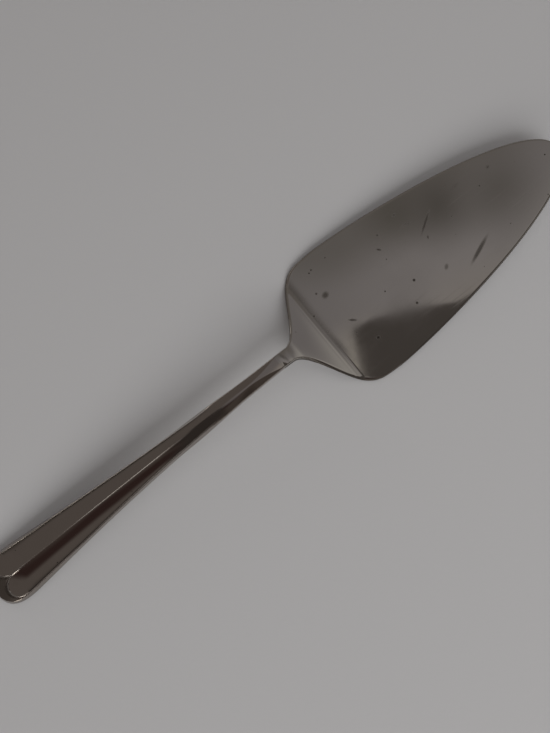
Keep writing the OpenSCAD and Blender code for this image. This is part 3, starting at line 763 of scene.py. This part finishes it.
# Stage: a pale matt floor, a soft key light and fill light, and a dim room whose soft patches the steel
# mirrors. All are set so that the shadows and reflections lie as in the photograph.
stage = {
    "floor": "#c4c4c5", "floorSize": 6000, "floorRoughness": 0.9, "floorGloss": 0.2,
    "weaveSize": 1.2, "weaveDepth": 0.04,  # of the cloth's grain
    "keyPlace": (-150, -1150, 800), "keySize": (1200, 900), "keyWatts": 12.4,
    "fillPlace": (600, 0, 1500), "fillSize": (2400, 2400), "fillWatts": 5.2,
    "room": "#6c6663", "backdrop": "#a6a6a8",
    # direction, full radius, outer radius and colour of each soft patch of the room, and a gain where it is
    # brighter than its colour; the radii are chords of a unit ball, and later patches cover earlier ones
    "patches": (
        ((0.15, -0.72, 0.68), 0.74, 0.87, "#3e302e"),
        ((-0.5, -0.8, 0.33), 0.42, 0.75, "#3e302e"),
        ((0.65, 0.05, 0.76), 0.72, 0.82, "#838082"),
        ((0.28, 0.02, 0.96), 0.03, 0.3, "#959294"),
        ((0.25, -0.12, 0.96), 0.13, 0.22, "#9a9694"),
        ((0.82, -0.28, 0.5), 0.33, 0.43, "#a5a3a1"),
        ((0.55, -0.3, 0.78), 0.33, 0.43, "#a5a3a1"),
        ((0.93, -0.14, 0.33), 0.2, 0.36, "#aeacaa"),
        ((0.1, 0.01, 0.995), 0.06, 0.12, "#a8a4a0"),
        ((0.68, 0.45, 0.58), 0.25, 0.4, "#726e6b"),
        ((0.4, 0.5, 0.77), 0.3, 0.42, "#726e6b"),
        ((0.19, 0.29, 0.94), 0.08, 0.16, "#757271"),
        ((0.27, 0.195, 0.94), 0.0, 0.08, "#65625f"),
        ((0.325, 0.16, 0.93), 0.0, 0.09, "#615e5c"),
        ((0.395, 0.12, 0.91), 0.0, 0.09, "#6e6b6a"),
        ((0.1, -0.8, 0.6), 0.55, 0.68, "#58514d"),
        ((0.45, -0.6, 0.66), 0.46, 0.56, "#3a3431"),
        ((0.75, -0.62, 0.2), 0.52, 0.62, "#3a3431"),
        ((0.64, -0.65, 0.4), 0.24, 0.36, "#918d8a"),
        ((0.0, -0.86, 0.5), 0.16, 0.28, "#8a8683"),
        ((-0.7, 0.12, 0.7), 0.1, 0.2, "#524d4a"),
        ((-0.93, 0.05, 0.35), 0.25, 0.35, "#36312e"),
        ((-0.72, -0.66, 0.22), 0.16, 0.25, "#fff8f0", 4.0),
        ((-0.17, 0.96, 0.2), 0.17, 0.24, "#f4f0ec", 1.5),
    ),
    "cardHeight": 600,
    # outline and colour of each card that hangs over the table and shows only in the steel
    "cards": {
        "darkFlag": (
            ((62, -10), (95, 56), (122, 51), (170, 29), (220, -1), (255, -9), (420, -170), (400, -420),
             (0, -420), (20, -90)), "#514d4b"),
        "darkHead": (
            ((-185, -330), (-185, 0), (-175, 140), (-150, 250), (-105, 230), (-80, 100), (-80, -330)),
            "#403b39"),
    },
}


def cardPiece(name, outline, height, material):
    # A flat outline at one height, for the floor and for cards that only show in the steel.
    mesh = bpy.data.meshes.new(name)
    points = np.column_stack([outline, np.full(len(outline), height)]) * mm
    mesh.from_pydata(points, [], [range(len(points))])
    mesh.materials.append(material)
    card = bpy.data.objects.new(name, mesh)
    bpy.context.scene.collection.objects.link(card)
    return card


floorMaterial = bpy.data.materials.new("matFloorCloth")
floorTree = bareTree(floorMaterial)
floorPlace = addNode(floorTree, "TexCoord").outputs["Object"]
floorNoise = addNode(floorTree, "TexNoise", {
    "Vector": floorPlace, "Scale": 1 / (stage["weaveSize"] * mm), "Detail": 4.0})
floorBump = addNode(floorTree, "Bump", {
    "Height": floorNoise.outputs["Fac"], "Distance": stage["weaveDepth"] * mm, "Strength": 1.0})
floorShader = addNode(floorTree, "BsdfPrincipled", {
    "Base Color": hexToLinear(stage["floor"]), "Roughness": stage["floorRoughness"],
    "Specular IOR Level": stage["floorGloss"], "Normal": floorBump.outputs[0]})
addNode(floorTree, "OutputMaterial", {"Surface": floorShader.outputs[0]})
half = stage["floorSize"] / 2
cardPiece("floor", ((-half, -half), (half, -half), (half, half), (-half, half)), 0, floorMaterial)

for name, (outline, colour) in stage["cards"].items():
    cardMaterial = bpy.data.materials.new(name)
    cardTree = bareTree(cardMaterial)
    cardGlow = addNode(cardTree, "Emission", {"Color": hexToLinear(colour), "Strength": 1.0})
    addNode(cardTree, "OutputMaterial", {"Surface": cardGlow.outputs[0]})
    card = cardPiece(name, outline, stage["cardHeight"], cardMaterial)
    card.visible_camera = card.visible_diffuse = card.visible_shadow = False

world = bpy.data.worlds.new("dimRoom")
bpy.context.scene.world = world
worldTree = bareTree(world)
direction = addNode(worldTree, "TexCoord").outputs["Generated"]
roomColour = hexToLinear(stage["room"])
for centre, full, outer, *tone in stage["patches"]:
    away = addNode(worldTree, "VectorMath", {
        0: direction, 1: Vector(centre).normalized()}, operation="DISTANCE")
    cover = addNode(worldTree, "MapRange", {
        "Value": away.outputs["Value"], "From Min": outer, "From Max": full},
        interpolation_type="SMOOTHSTEP")
    roomColour = addNode(worldTree, "Mix", {
        0: cover.outputs[0], 6: roomColour, 7: hexToLinear(*tone)}, data_type="RGBA").outputs[2]
# Where the camera sees past the floor, the backdrop is plain; the soft patches show only in the steel.
inView = addNode(worldTree, "LightPath").outputs["Is Camera Ray"]
roomColour = addNode(worldTree, "Mix", {
    0: inView, 6: roomColour, 7: hexToLinear(stage["backdrop"])}, data_type="RGBA").outputs[2]
roomLight = addNode(worldTree, "Background", {"Color": roomColour, "Strength": 1.0})
addNode(worldTree, "OutputWorld", {"Surface": roomLight.outputs[0]})

for name in ("key", "fill"):
    lamp = bpy.data.lights.new(name + "Light", "AREA")
    lamp.shape = "RECTANGLE"
    lamp.size, lamp.size_y = (side * mm for side in stage[name + "Size"])
    lamp.energy = stage[name + "Watts"]
    lampPiece = bpy.data.objects.new(name + "Light", lamp)
    lampPiece.location = Vector(stage[name + "Place"]) * mm
    lampPiece.rotation_euler = lampPiece.location.to_track_quat("Z", "Y").to_euler()
    lampPiece.visible_glossy = False
    bpy.context.scene.collection.objects.link(lampPiece)
bpy.context.scene.view_settings.view_transform = "Standard"
print("stage set")
